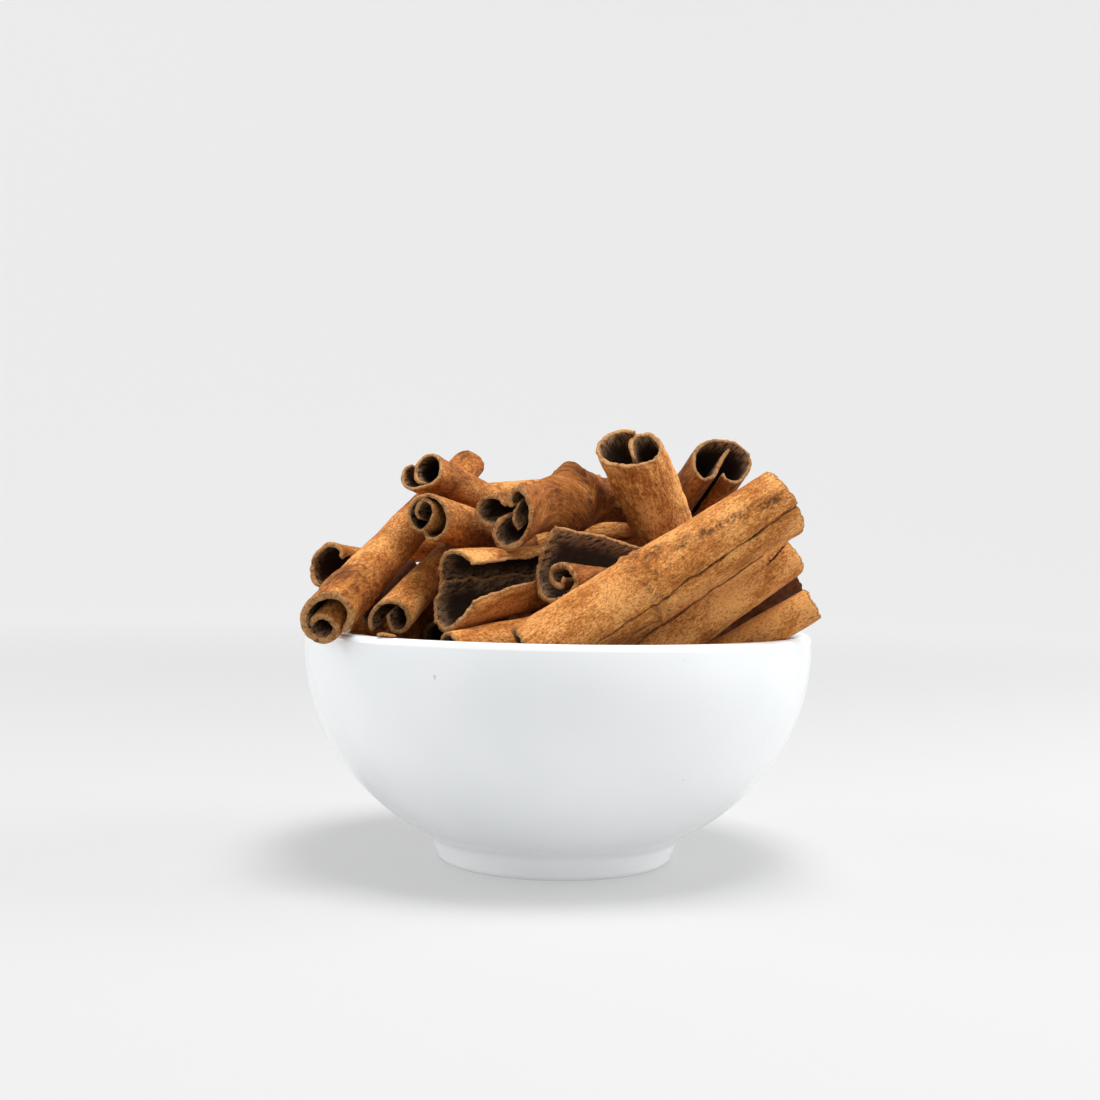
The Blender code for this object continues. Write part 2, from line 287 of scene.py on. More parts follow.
@dataclass(frozen=True)
class Quill:
    """One stick of rolled bark, from the middle of its mouth to the middle of its tail.

    twist turns the roll on the way, slant tilts the mouth's cut by millimetres for each millimetre
    of the section, bow and sway arch the stick up and sideways. A knot is (place along the stick,
    height as a share of the radius, width as a share of the length). tone darkens the bark below
    0.5 and lightens it above, partly as the stick's own tone and partly as painted shade and painted
    light for how much light the stick gets; wrinkle is the height of its wrinkles.
    """

    name: str
    mouth: Point
    tail: Point
    radius: float
    tail_radius: float
    sheets: tuple[Sheet, ...]
    twist: float = 8.0
    slant: tuple[float, float] = (0.0, 0.0)
    bow: float = 0.0
    sway: float = 0.0
    knots: tuple[tuple[float, float, float], ...] = ()
    tone_and_shade: float = 0.5
    wrinkle: float = 0.10
    column_step: float = 0.5
    row_step: float = 0.85
    edge_points: int = 3

    @property
    def length(self) -> float:
        """The stick's length in millimetres."""
        return (Vector(self.mouth) - Vector(self.tail)).length

    def seed(self, number: int) -> int:
        """A seed for one of the stick's sheets, from the stick's name."""
        return 1000 * number + sum((place + 3) * ord(letter) for place, letter in enumerate(self.name))

    def radius_at(self, v: np.ndarray) -> np.ndarray:
        """The outer radius at v, from mouth 0 to tail 1, with a bell-shaped swelling at each knot."""
        size = self.radius + (self.tail_radius - self.radius) * v
        for place, height, width in self.knots:
            size = size + height * self.radius * np.exp(-(((v - place) / (0.6 * width)) ** 2))
        return size

    def section_lines(self, sheet: Sheet, v: np.ndarray, grain: Grain) -> tuple[np.ndarray, ...]:
        """The middle line of a rolled sheet at each v.

        The sheet's own line is stretched in and out a little by noise, scaled to the stick's
        radius less half the bark, and turned by the stick's twist times v.

        Args:
            sheet: The sheet to roll.
            v: Places along the stick, in a column.
            grain: The sheet's noise.

        Returns:
            x, y and heading of each point, and the length of each line in millimetres.
        """
        base_x, base_y, base_heading, total = sheet.line(LINE_SAMPLES)
        s = np.linspace(0.0, total, LINE_SAMPLES)[None, :]
        size = self.radius_at(v) - sheet.bark / 2
        stretch = size * (1 + 0.035 * grain.layered(s * 0.9, v * 2.4 + 5, 2))
        turn = np.radians(self.twist * v)
        x, y = base_x * stretch, base_y * stretch
        return (
            x * np.cos(turn) - y * np.sin(turn),
            x * np.sin(turn) + y * np.cos(turn),
            base_heading + turn,
            total * size,
        )

    def surface(self) -> Surface:
        """The stick's closed sheets, as one surface."""
        whole = self.sheet_surface(0)
        for number in range(1, len(self.sheets)):
            whole = whole.joined(self.sheet_surface(number))
        return whole

    def torn_cut(
        self, sheet: Sheet, grain: Grain, arc: np.ndarray, waves: float, teeth: float, seed_row: float
    ) -> np.ndarray:
        """How far a torn end is cut back along the sheet: broad waves of noise plus fine teeth.

        Args:
            sheet: The sheet, whose torn number sets the depth.
            grain: The sheet's noise.
            arc: Places along the sheet, in millimetres.
            waves: Length of a broad wave.
            teeth: Width of a tooth.
            seed_row: The row of the noise that this end reads.

        Returns:
            Millimetres cut back at each place.
        """
        broad = 0.9 + 0.5 * grain.layered(arc / waves, np.full_like(arc, seed_row), 2)
        fine = grain.layered(arc / teeth, np.full_like(arc, seed_row + 2), 4)
        return sheet.torn * broad + (0.08 + 0.34 * sheet.torn) * fine

    def side_edges(
        self, sheet: Sheet, grain: Grain, v: np.ndarray, line_length: np.ndarray
    ) -> tuple[np.ndarray, np.ndarray]:
        """Where the sheet begins and ends along its line, torn unevenly or drifting as a seam.

        Args:
            sheet: The sheet.
            grain: The sheet's noise.
            v: Places along the stick, in a column.
            line_length: The line's length at each v, in millimetres.

        Returns:
            The first and the last place at each v, in millimetres along the line.
        """
        along = v * self.length
        ragged = 0.15 if sheet.wander else sheet.torn
        drift = sheet.wander * grain.layered(along / 8.0, np.full_like(v, 21.5), 4)
        first_torn = ragged * (0.9 + 0.6 * grain.layered(along / 5.1, np.full_like(v, 3.7), 4))
        last_torn = ragged * (0.9 + 0.6 * grain.layered(along / 4.7, np.full_like(v, 11.2), 4))
        first = drift + between(sheet.first_trim, v) + first_torn
        last = drift + line_length - between(sheet.last_trim, v) - last_torn
        return first, last

    def crack_distance(
        self, sheet: Sheet, grain: Grain, arc: np.ndarray, v: np.ndarray, line_length: np.ndarray
    ) -> np.ndarray:
        """Signed millimetres to the nearest crack, which wanders by noise, or FAR without one."""
        along = v * self.length
        crack = np.full_like(arc, FAR)
        for share_along, begin, finish in sheet.cracks:
            wander = 0.7 * grain.layered(along / 7.0, np.full_like(v, 60.0 + begin * 9), 4)
            beyond = np.maximum(np.maximum(begin - v, v - finish), 0.0) * self.length
            signed = arc - share_along * line_length - wander
            signed = np.sign(signed) * np.hypot(np.maximum(np.abs(signed), 0.001), beyond)
            crack = np.where(np.abs(signed) < np.abs(crack), signed, crack)
        return crack

    def dark_marks(
        self, sheet: Sheet, grain: Grain, arc: np.ndarray, v: np.ndarray, line_length: np.ndarray
    ) -> np.ndarray:
        """How dark each place is from narrow knots' scars and from dark bands: bell curves, from 0 to 1.
        A dark band as wide as the sheet is painted shade.
        """
        dark_mark = np.zeros_like(arc)
        for place, height, width in self.knots:
            if height > 0 and width <= BROAD_KNOT:
                ragged = 0.35 * width * grain.layered(arc / 2.4, np.full_like(arc, 80.0), 3)
                dark_mark = np.maximum(dark_mark, np.exp(-(((v + ragged - place) / (0.45 * width)) ** 2)))
        for share_from, share_to, begin, finish, width in sheet.dark_bands:
            middle = share_from + (share_to - share_from) * (v - begin) / (finish - begin)
            aside = (arc - middle * line_length) / width
            inside = smooth(begin - 0.03, begin + 0.05, v) * smooth(finish + 0.03, finish - 0.05, v)
            dark_mark = np.maximum(dark_mark, inside * np.exp(-(aside**2)))
        return dark_mark

    def thickness(
        self, sheet: Sheet, grain: Grain, arc: np.ndarray, along: np.ndarray,
        to_end: np.ndarray, to_side: np.ndarray,
    ) -> np.ndarray:
        """The bark's thickness: uneven by noise, and thinner near its ends and torn edges."""
        thick = sheet.bark * (1 + 0.14 * grain.at(arc / 4.3, along / 9.0 + 70))
        thick = thick * (0.86 + 0.14 * smooth(0.0, 0.9, to_end))
        return thick if sheet.wander else thick * (0.62 + 0.38 * smooth(0.0, 1.3, to_side))

    def outer_lift(self, grain: Grain, arc: np.ndarray, along: np.ndarray, crack: np.ndarray) -> np.ndarray:
        """How far the outside stands off: fibres, wrinkles with sharp valleys, a groove at a crack."""
        fibre = 0.035 * grain.layered(arc * 1.1, along * 0.16, 3)
        bent = arc * 0.55 + 13 + 0.5 * grain.at(arc / 3, along / 6)
        folds = np.abs(grain.layered(bent, along / 6.0, 3))
        lumps = grain.layered(arc / 3.1 + 5, along / 7.5, 3)
        return fibre + self.wrinkle * (lumps + 0.8 * folds) - 0.35 * np.exp(-((crack / 0.55) ** 2))

    def side_round(
        self, outer: np.ndarray, inner: np.ndarray, ahead: np.ndarray,
        along: np.ndarray, grain: Grain, seed: int,
    ) -> np.ndarray:
        """Rounds a lengthwise edge: a half circle over the bark's thickness, roughened by noise.

        Args:
            outer: The edge's outside points in the section, one row for each v.
            inner: Its inside points.
            ahead: The direction out of the edge.
            along: Millimetres along the stick, in a column.
            grain: The sheet's noise.
            seed: Sets this edge's noise apart from the other's.

        Returns:
            edge_points points for each v, from the outside to the inside.
        """
        turn = math.pi * np.arange(1, self.edge_points + 1)[None, :] / (self.edge_points + 1)
        middle, half = (outer + inner) / 2, (outer - inner) / 2
        reach = ahead * np.linalg.norm(half, axis=1, keepdims=True)
        rough = 0.55 + 0.45 * grain.layered(along * 1.4, turn * 3 + seed, 2)
        return (
            middle[:, None]
            + half[:, None] * np.cos(turn)[..., None]
            + reach[:, None] * (np.sin(turn) * rough)[..., None]
        )

    def round_trip(self, outer: np.ndarray, inner: np.ndarray, last: object, first: object) -> np.ndarray:
        """Columns of a value in the loop's order, with the given numbers on the two edges."""
        pad = np.ones((len(outer), self.edge_points))
        return np.column_stack((outer, last * pad, inner[:, ::-1], first * pad))

    def loop_uv(self, arc: np.ndarray, along: np.ndarray, thick: np.ndarray) -> np.ndarray:
        """The loop's uv: millimetres round it and along the stick, over UV_SPAN, by face corner."""
        width = (thick[:, :1] + thick[:, -1:]) / 2
        steps = np.arange(1, self.edge_points + 1) * width / (self.edge_points + 1)
        back = arc[:, -1:] + width
        home = back + arc[:, -1:] - arc[:, :1]
        across = np.concatenate(
            (arc, arc[:, -1:] + steps, back + arc[:, -1:] - arc[:, ::-1], home + steps, home + width), axis=1
        )
        u = np.stack((across[:-1, :-1], across[:-1, 1:], across[1:, 1:], across[1:, :-1]), -1)
        near, far = along[:-1] + 0 * u[..., 0], along[1:] + 0 * u[..., 0]
        return np.stack((u, np.stack((near, near, far, far), -1)), -1).reshape(-1, 2) / UV_SPAN

    def end_cap(
        self, ring: np.ndarray, arc: np.ndarray, bark: np.ndarray, depth: float, lift: np.ndarray
    ) -> tuple[np.ndarray, list[np.ndarray], list[np.ndarray]]:
        """Closes the bark at one end with two ladders of faces that meet on a raised middle line.

        Args:
            ring: The end loop's points, in metres.
            arc: Places along the sheet, in millimetres, one for each column.
            bark: The bark's thickness at each column.
            depth: Millimetres behind the mouth.
            lift: How far the middle line is moved, as a vector for each column, in metres.

        Returns:
            The middle line's points; the faces of the ladders and of the two edges, which count
            the ring's points from 0 and the middle's on from them; and the uv of each face.
        """
        outer = np.arange(len(arc))
        inner = outer[::-1] + len(arc) + self.edge_points
        middle = outer + len(ring)
        ladder = np.concatenate(
            (
                np.stack((outer[1:], outer[:-1], middle[:-1], middle[1:]), -1),
                np.stack((middle[1:], middle[:-1], inner[:-1], inner[1:]), -1),
            )
        )
        last = np.arange(len(arc) - 1, len(arc) + self.edge_points + 1)
        first = np.append(np.arange(len(ring) - self.edge_points - 1, len(ring)), 0)
        fan = np.concatenate(
            [
                np.stack((edge[1:], edge[:-1], np.full(len(edge) - 1, centre)), -1)
                for edge, centre in ((last, middle[-1]), (first, middle[0]))
            ]
        )
        above, mid, below = (
            np.stack((arc, depth + share * bark), -1) / UV_SPAN for share in (0.0, 0.5, 1.0)
        )
        ladder_uv = np.concatenate(
            (
                np.stack((above[1:], above[:-1], mid[:-1], mid[1:]), 1),
                np.stack((mid[1:], mid[:-1], below[:-1], below[1:]), 1),
            )
        )
        corners = np.array(((FAN_UV, 0.0), (0.0, FAN_UV), (0.0, 0.0)))
        fan_uv = np.zeros((len(fan), 3, 2)) + above[-1] + corners
        points = (ring[outer] + ring[inner]) / 2 + lift
        return points, [ladder, fan], [ladder_uv, fan_uv]

    def sheet_surface(self, number: int) -> Surface:
        """One sheet's closed surface.

        Each row is a loop: along the outside of the sheet, round its last torn edge, back along
        the inside and round its first edge. The middle line is pushed out by half the bark's
        thickness along its normal, plus fibres, wrinkles and cracks; the rows run from mouth to
        tail, and a ladder of faces with a raised middle closes the bark at both ends.

        Args:
            number: The sheet's place in the stick's list.

        Returns:
            The surface in the part's frame.
        """
        sheet = self.sheets[number]
        grain = Grain(self.seed(number))
        bends = sheet.line(LINE_SAMPLES)[2]
        hand = 1.0 if bends[-1] > bends[0] else -1.0
        rows = max(8, round(self.length / self.row_step))
        v = np.linspace(0.0, 1.0, rows)[:, None]
        along = v * self.length
        line_x, line_y, heading, line_length = self.section_lines(sheet, v, grain)
        columns = max(12, round(float(line_length.max()) / self.column_step))
        t = np.linspace(0.0, 1.0, columns + 1)[None, :]
        first, last = self.side_edges(sheet, grain, v, line_length)
        arc = first + (last - first) * t
        x, y, angle = (read_rows(lines, arc / line_length) for lines in (line_x, line_y, heading))

        mouth_cut = sheet.mouth_back + between(sheet.cut, t + 0 * arc)
        mouth_cut = mouth_cut + self.slant[0] * x + self.slant[1] * y
        mouth_cut = mouth_cut + self.torn_cut(sheet, grain, arc, 6.3, 0.9, 31.0)
        tail_cut = sheet.tail_back + self.torn_cut(sheet, grain, arc, 5.7, 1.0, 47.0)
        depth = mouth_cut + (self.length - mouth_cut - tail_cut) * v
        to_end = np.minimum(depth - mouth_cut, self.length - tail_cut - depth)
        to_side = np.minimum(arc - first, last - arc)

        thick = self.thickness(sheet, grain, arc, along, to_end, to_side)
        crack = self.crack_distance(sheet, grain, arc, v, line_length)
        outwards = np.stack((np.sin(angle), -np.cos(angle)), -1) * hand
        forwards = np.stack((np.cos(angle), np.sin(angle)), -1)
        half_out = thick / 2 + self.outer_lift(grain, arc, along, crack)
        half_in = thick / 2 + 0.06 * grain.layered(arc * 0.8, along * 0.15 + 40, 3)
        outer = np.stack((x, y), -1) + outwards * half_out[..., None]
        inner = np.stack((x, y), -1) - outwards * half_in[..., None]
        last_edge = self.side_round(outer[:, -1], inner[:, -1], forwards[:, -1], along, grain, columns)
        first_edge = self.side_round(outer[:, 0], inner[:, 0], -forwards[:, 0], along, grain, 0)
        section = np.concatenate((outer, last_edge, inner[:, ::-1], first_edge[:, ::-1]), axis=1)
        loop = section.shape[1]
        loop_depth = self.round_trip(depth, depth, depth[:, -1:], depth[:, :1])
        points = self.placed(section[..., 0], section[..., 1], loop_depth, v)

        blank = np.zeros_like(arc)
        rim = to_end if sheet.wander else np.minimum(to_end, to_side)
        side_rim = to_end[:, :1] if sheet.wander else 0.0
        dark_mark = self.dark_marks(sheet, grain, arc, v, line_length)
        values = {
            "rim": self.round_trip(rim, rim, side_rim, side_rim),
            "side": self.round_trip(blank + 1, blank, 0.5, 0.5),
            "crack": self.round_trip(crack, blank + FAR, FAR, FAR),
            "dark_mark": self.round_trip(dark_mark, blank, 0.0, 0.0),
        }
        at_caps = {"rim": 0.0, "side": 0.5, "crack": FAR, "dark_mark": 0.0}
        caps = np.ones(2 * (columns + 1))
        values = {key: np.append(value, at_caps[key] * caps) for key, value in values.items()}

        clouds, faces, corner_uv = [points], [ring_quads(rows, loop)], [self.loop_uv(arc, along, thick)]
        for row, way in ((0, 1), (rows - 1, -1)):
            base, start = row * loop, sum(len(cloud) for cloud in clouds)
            uneven = 1 + grain.layered(arc[row] * 1.7, np.full(columns + 1, 90.0 + row), 3)
            lift = np.outer(0.18 * thick[row] * uneven * way * MM, self.frame.to_3x3().col[2])
            middle, parts, parts_uv = self.end_cap(
                points[base : base + loop], arc[row], thick[row], float(along[row, 0]), lift
            )
            clouds.append(middle)
            faces += [np.where(part < loop, part + base, part - loop + start)[:, ::way] for part in parts]
            corner_uv += [part_uv[:, ::way].reshape(-1, 2) for part_uv in parts_uv]
        cloud = np.concatenate(clouds)
        values["tone_and_shade"] = np.full(len(cloud), self.tone_and_shade)
        if hand > 0:
            faces = [part[:, ::-1] for part in faces]
            corner_uv = [
                part_uv.reshape(len(part), -1, 2)[:, ::-1].reshape(-1, 2)
                for part, part_uv in zip(faces, corner_uv)
            ]
        return Surface(cloud, faces, corner_uv, values)

    @property
    def frame(self) -> Matrix:
        """The stick's placement: origin at the mouth, +Z out of it and +Y as near up as it goes."""
        mouth = Vector(self.mouth)
        out = (mouth - Vector(self.tail)).normalized()
        right = Vector((0, 0, 1)).cross(out).normalized()
        turn = Matrix((right, out.cross(right), out)).transposed()
        return Matrix.Translation(mouth) @ turn.to_4x4()

    def placed(self, x: np.ndarray, y: np.ndarray, depth: np.ndarray, v: np.ndarray) -> np.ndarray:
        """Turns section points into places in the part's frame.

        The section is moved along the stick's arch 4v(1 - v) and carried by the stick's frame.

        Args:
            x: Section places to the viewer's right of the mouth, in millimetres.
            y: Section places upwards.
            depth: Millimetres behind the mouth.
            v: Places along the stick, in a column.

        Returns:
            Points in metres, one row for each section point.
        """
        arch = 4 * v * (1 - v)
        local = np.stack((x + self.sway * arch, y + self.bow * arch, -depth), -1).reshape(-1, 3)
        matrix = np.array(self.frame)
        return (local @ matrix[:3, :3].T + matrix[:3, 3]) * MM


# Each stick's tone number is partly its own tone, partly painted shade on sticks that lie in shadow and
# painted light on sticks the lamps leave too dark.
QUILLS = (
    Quill("rim_left", (-54.1, -44.5, 62.7), (-25.1, 23.6, 102.4), 6.5, 5.0,
          (Sheet(((0.63, -0.60), (0.93, -0.14), (0.86, 0.49), (0.42, 0.87), (-0.13, 0.92), (-0.63, 0.64),
                  (-0.85, 0.15), (-0.73, -0.45), (-0.33, -0.80), (0.10, -0.80), (0.34, -0.49), (0.20, -0.10),
                  (-0.16, 0.13), (-0.54, 0.01), (-0.64, -0.22)), 1.8, 0.3),),
          slant=(0.40, 0.30), knots=((0.11, 0.10, 0.03), (0.155, 0.08, 0.022)), tone_and_shade=0.45),
    Quill("left_low", (-39.9, -41.5, 63.5), (-27.8, 5.3, 79.9), 5.2, 4.4,
          (Sheet(((-0.85, -0.69), (-0.81, -0.07), (-0.51, 0.54), (-0.03, 0.81), (0.47, 0.67), (0.78, 0.17),
                  (0.81, -0.48), (0.51, -0.92), (0.16, -0.88), (-0.02, -0.43), (-0.01, 0.20)), 1.1, 0.45),),
          slant=(0.60, -0.25), tone_and_shade=0.66),
    Quill("left_back", (-56.7, -18.2, 74.3), (-44.4, 18.0, 72.1), 6.3, 5.4,
          (Sheet(((-0.49, -0.92), (-0.92, -0.53), (-1.03, 0.12), (-0.76, 0.74), (-0.20, 1.04), (0.36, 0.84),
                  (0.52, 0.41)), 1.2, 0.9),), slant=(-0.15, 0.05)),
    Quill("scroll", (-31.3, -35.6, 86.8), (-10.0, 16.5, 80.6), 6.3, 5.6,
          (Sheet(((-0.26, -0.47), (-0.12, -0.75), (0.21, -0.81), (0.59, -0.59), (0.84, -0.15), (0.78, 0.39),
                  (0.43, 0.81), (-0.06, 0.95), (-0.53, 0.78), (-0.86, 0.32), (-0.81, -0.21), (-0.47, -0.47),
                  (-0.11, -0.30), (0.19, 0.11), (0.18, 0.54), (-0.12, 0.75), (-0.44, 0.58), (-0.56, 0.28),
                  (-0.47, -0.02)), 0.95, 0.3),), slant=(0.0, -0.30), tone_and_shade=0.4),
    Quill("top_left", (-34.4, -25.3, 98.1), (-12.1, 24.7, 88.6), 6.1, 5.0,
          (Sheet(((-0.50, 0.40), (-0.80, 0.17), (-0.84, -0.21), (-0.60, -0.62), (-0.18, -0.78), (0.26, -0.67),
                  (0.70, -0.53), (0.95, -0.17), (0.92, 0.26), (0.65, 0.68), (0.26, 0.86), (-0.12, 0.71),
                  (-0.27, 0.32), (-0.21, -0.09), (0.03, -0.42), (0.42, -0.50)), 0.9, 0.35),),
          slant=(0.0, 0.35), tone_and_shade=0.42),
    Quill("knuckle", (-13.5, -34.0, 87.0), (17.5, 8.5, 91.5), 7.9, 5.9,
          (Sheet(((0.03, 0.07), (-0.23, -0.15), (-0.36, -0.44), (-0.23, -0.78), (0.12, -0.92), (0.48, -0.80),
                  (0.75, -0.48), (0.89, -0.04), (0.86, 0.44), (0.70, 0.76), (0.42, 0.92), (0.20, 0.79),
                  (0.17, 0.57), (0.24, 0.37)), 1.2, 0.45),
           Sheet(((-0.05, 0.34), (-0.27, 0.61), (-0.62, 0.72), (-0.96, 0.62), (-1.13, 0.33), (-1.01, 0.01),
                  (-0.73, -0.18), (-0.46, -0.22)), 1.0, 0.6, 0.8),
           Sheet(((0.50, 0.62), (0.33, 0.35), (0.24, -0.01), (0.31, -0.28), (0.43, -0.44)),
                 0.6, 0.9, 1.0, 20.0)),
          twist=38, slant=(0.15, 0.12), bow=2.8,
          knots=((0.47, 0.30, 0.20), (0.45, 0.07, 0.05), (0.62, 0.05, 0.03), (0.20, -0.12, 0.18)), tone_and_shade=0.27,
          wrinkle=0.30),
    Quill("gaping", (-28.2, -42.4, 69.5), (5.7, -11.6, 74.4), 9.5, 6.7,
          (Sheet(((0.77, 0.64), (0.45, 0.90), (0.0, 1.0), (-0.45, 0.90), (-0.85, 0.52), (-1.0, -0.03)),
                 1.25, 1.0, cut=((0.0, 4.0), (0.5, 5.0), (1.0, 7.0))),
           Sheet(((-0.72, 0.27), (-0.80, -0.05), (-0.82, -0.42), (-0.52, -0.85), (0.0, -1.0), (0.5, -0.87),
                  (0.86, -0.5), (0.99, -0.14), (0.96, 0.2)),
                 1.4, 0.9, cut=((0.0, 5.5), (0.28, 2.4), (0.5, 0.0), (0.8, 0.0), (1.0, 2.5)),
                 last_trim=((0.0, 3.0), (0.5, 0.6), (1.0, 0.0)))),
          tone_and_shade=0.62),
    Quill("open_roll", (0.0, -40.0, 77.0), (35.2, -12.0, 72.2), 9.4, 6.8,
          (Sheet(((-0.40, 1.05), (-0.78, 0.47), (-1.02, -0.38), (-0.82, -0.85), (-0.14, -1.04), (0.44, -0.81),
                  (0.60, -0.47), (0.30, -0.15), (-0.12, -0.08), (-0.44, -0.28), (-0.33, -0.56), (0.01, -0.63),
                  (0.16, -0.35)), 1.5, 0.7),), tone_and_shade=0.3),
    Quill("upright", (17.0, -18.6, 105.1), (34.5, 7.0, 69.8), 8.2, 7.4,
          (Sheet(((0.22, -0.33), (-0.03, 0.10), (-0.17, 0.52), (-0.08, 0.82), (0.17, 0.99), (0.54, 0.82),
                  (0.88, 0.42), (0.94, -0.11), (0.68, -0.60), (0.26, -0.86), (-0.30, -0.88), (-0.80, -0.56),
                  (-1.00, 0.0), (-0.94, 0.50), (-0.69, 0.84), (-0.28, 0.98)), 1.15, 0.25),),
          slant=(0.30, 0.10), tone_and_shade=0.6, wrinkle=0.38),
    Quill("two_lobes", (43.5, 11.4, 104.3), (24.6, 39.2, 74.5), 9.4, 8.3,
          (Sheet(((0.38, 0.40), (0.10, 0.17), (-0.20, -0.14), (-0.46, -0.42), (-0.74, -0.43), (-0.88, -0.09),
                  (-0.78, 0.35), (-0.50, 0.71), (-0.13, 0.86), (0.28, 0.77), (0.64, 0.56), (0.83, 0.18),
                  (0.78, -0.24), (0.49, -0.63), (0.11, -0.85), (-0.12, -0.71), (-0.16, -0.42)), 1.05, 0.4),),
          slant=(-0.40, -0.05), tone_and_shade=0.21),
    Quill("long_front", (-6.9, -53.1, 55.6), (52.1, -41.7, 92.1), 7.7, 8.1,
          (Sheet(rolled(Roll.SEAM, 50), 1.3, 0.35, wander=0.8,
                 first_trim=((0.0, -0.1), (0.5, -0.1), (0.66, 0.05), (1.0, 0.05)),
                 dark_bands=((0.18, 0.06, 0.52, 0.99, 1.3), (0.24, 0.22, 0.40, 0.56, 2.0))),),
          twist=36, knots=((0.43, 0.10, 0.022), (0.47, 0.07, 0.018)), tone_and_shade=0.58),
    Quill("right_second", (9.6, -42.2, 47.7), (55.9, -26.8, 79.7), 5.9, 5.2,
          (Sheet(rolled(Roll.SEAM, 146), 1.2, 0.35, wander=0.7, cracks=((0.93, 0.88, 0.97),)),), tone_and_shade=0.72),
    Quill("right_third", (27.1, -28.0, 47.2), (61.3, -30.0, 68.2), 4.6, 4.1,
          (Sheet(rolled(Roll.CURL, -60), 1.1, 0.3),), tone_and_shade=0.78),
    # right_dark's tone below 0 and its dark band across the whole sheet paint it near-black: painted shade on
    # a wedge deep between the sticks
    Quill("right_dark", (24.9, -19.5, 51.2), (59.9, -13.0, 73.2), 4.5, 4.3,
          (Sheet(rolled(Roll.DOUBLE, 90), 0.9, 0.9, dark_bands=((0.5, 0.5, -0.1, 1.1, 40.0),)),),
          tone_and_shade=-0.4, wrinkle=0.5),
    Quill("front_low", (-25.4, -47.7, 55.5), (19.3, -21.5, 61.0), 5.3, 7.0,
          (Sheet(rolled(Roll.SEAM, 0), 1.1, 0.4, wander=0.5),)),
    # left_dark's tone of 0 paints it dark: painted shade under the front of the heap
    Quill("left_dark", (-32.2, -39.0, 57.0), (-16.7, 7.2, 60.1), 4.7, 4.5,
          (Sheet(rolled(Roll.CURL, 60), 1.1, 0.5, mouth_back=11.0),), tone_and_shade=0.0),
    Quill("behind_open", (-4.0, 33.0, 80.5), (24.5, 11.5, 85.9), 5.3, 5.4,
          (Sheet(rolled(Roll.CURL, 60), 1.1),), tone_and_shade=0.6),
    Quill("behind_knuckle", (12.1, 26.5, 96.1), (-31.2, 43.1, 93.3), 5.3, 4.9,
          (Sheet(rolled(Roll.HEART, 60), 1.1),), tone_and_shade=0.6),
    Quill("back_left", (-44.9, 39.0, 66.7), (-10.3, -6.8, 72.7), 7.0, 6.0,
          (Sheet(rolled(Roll.HEART, -80), 1.2),), tone_and_shade=0.45),
    Quill("back_middle", (-18.9, 54.2, 69.7), (-2.0, -4.2, 62.8), 7.5, 6.5,
          (Sheet(rolled(Roll.SCROLL, 20, -1), 1.1),)),
    Quill("back_right", (11.4, 55.2, 68.3), (7.5, 2.1, 70.6), 6.5, 6.0,
          (Sheet(rolled(Roll.DOUBLE, -60), 1.1),), tone_and_shade=0.4),
    Quill("back_corner", (42.4, 41.5, 65.9), (9.9, 8.2, 57.5), 7.0, 6.2,
          (Sheet(rolled(Roll.HOOK, 100), 1.3),), tone_and_shade=0.55),
    Quill("back_across", (-43.6, 33.8, 81.0), (23.7, 50.5, 84.3), 6.5, 6.0,
          (Sheet(rolled(Roll.TONGUE, 80), 1.1),), knots=((0.7, 0.05, 0.03),)),
    Quill("side_right", (55.2, 4.6, 61.1), (11.5, -3.0, 52.2), 6.0, 5.6,
          (Sheet(rolled(Roll.CURL, 130), 1.1),)),
    Quill("side_left", (-55.1, 5.5, 61.5), (-16.3, 17.6, 55.0), 6.0, 5.6,
          (Sheet(rolled(Roll.RING, 40), 1.1),), tone_and_shade=0.4),
    Quill("under_left", (-42.1, -35.9, 53.6), (-32.3, 2.2, 65.7), 5.5, 5.3,
          (Sheet(rolled(Roll.HEART, 120), 1.1),), tone_and_shade=0.2),
    Quill("under_open", (3.3, -14.6, 57.5), (25.2, -5.4, 66.2), 5.3, 5.1,
          (Sheet(rolled(Roll.CURL, 200), 1.1),), tone_and_shade=0.3),
    Quill("under_back", (41.5, 36.3, 49.7), (0.7, 35.4, 59.0), 5.2, 5.0,
          (Sheet(rolled(Roll.HOOK, 10), 1.0),), tone_and_shade=0.45),
    Quill("under_corner", (-39.4, 27.7, 56.3), (-10.8, 38.2, 56.1), 4.4, 4.3,
          (Sheet(rolled(Roll.HEART, 80), 1.0),)),
    Quill("under_side", (24.1, 9.9, 49.5), (41.8, 23.8, 57.8), 5.4, 5.2,
          (Sheet(rolled(Roll.CURL, 150), 1.1),), tone_and_shade=0.35),
    Quill("under_front", (-28.7, -30.7, 45.6), (-34.4, -3.8, 51.8), 5.0, 4.9,
          (Sheet(rolled(Roll.DOUBLE, 40), 1.0),), tone_and_shade=0.4),
)

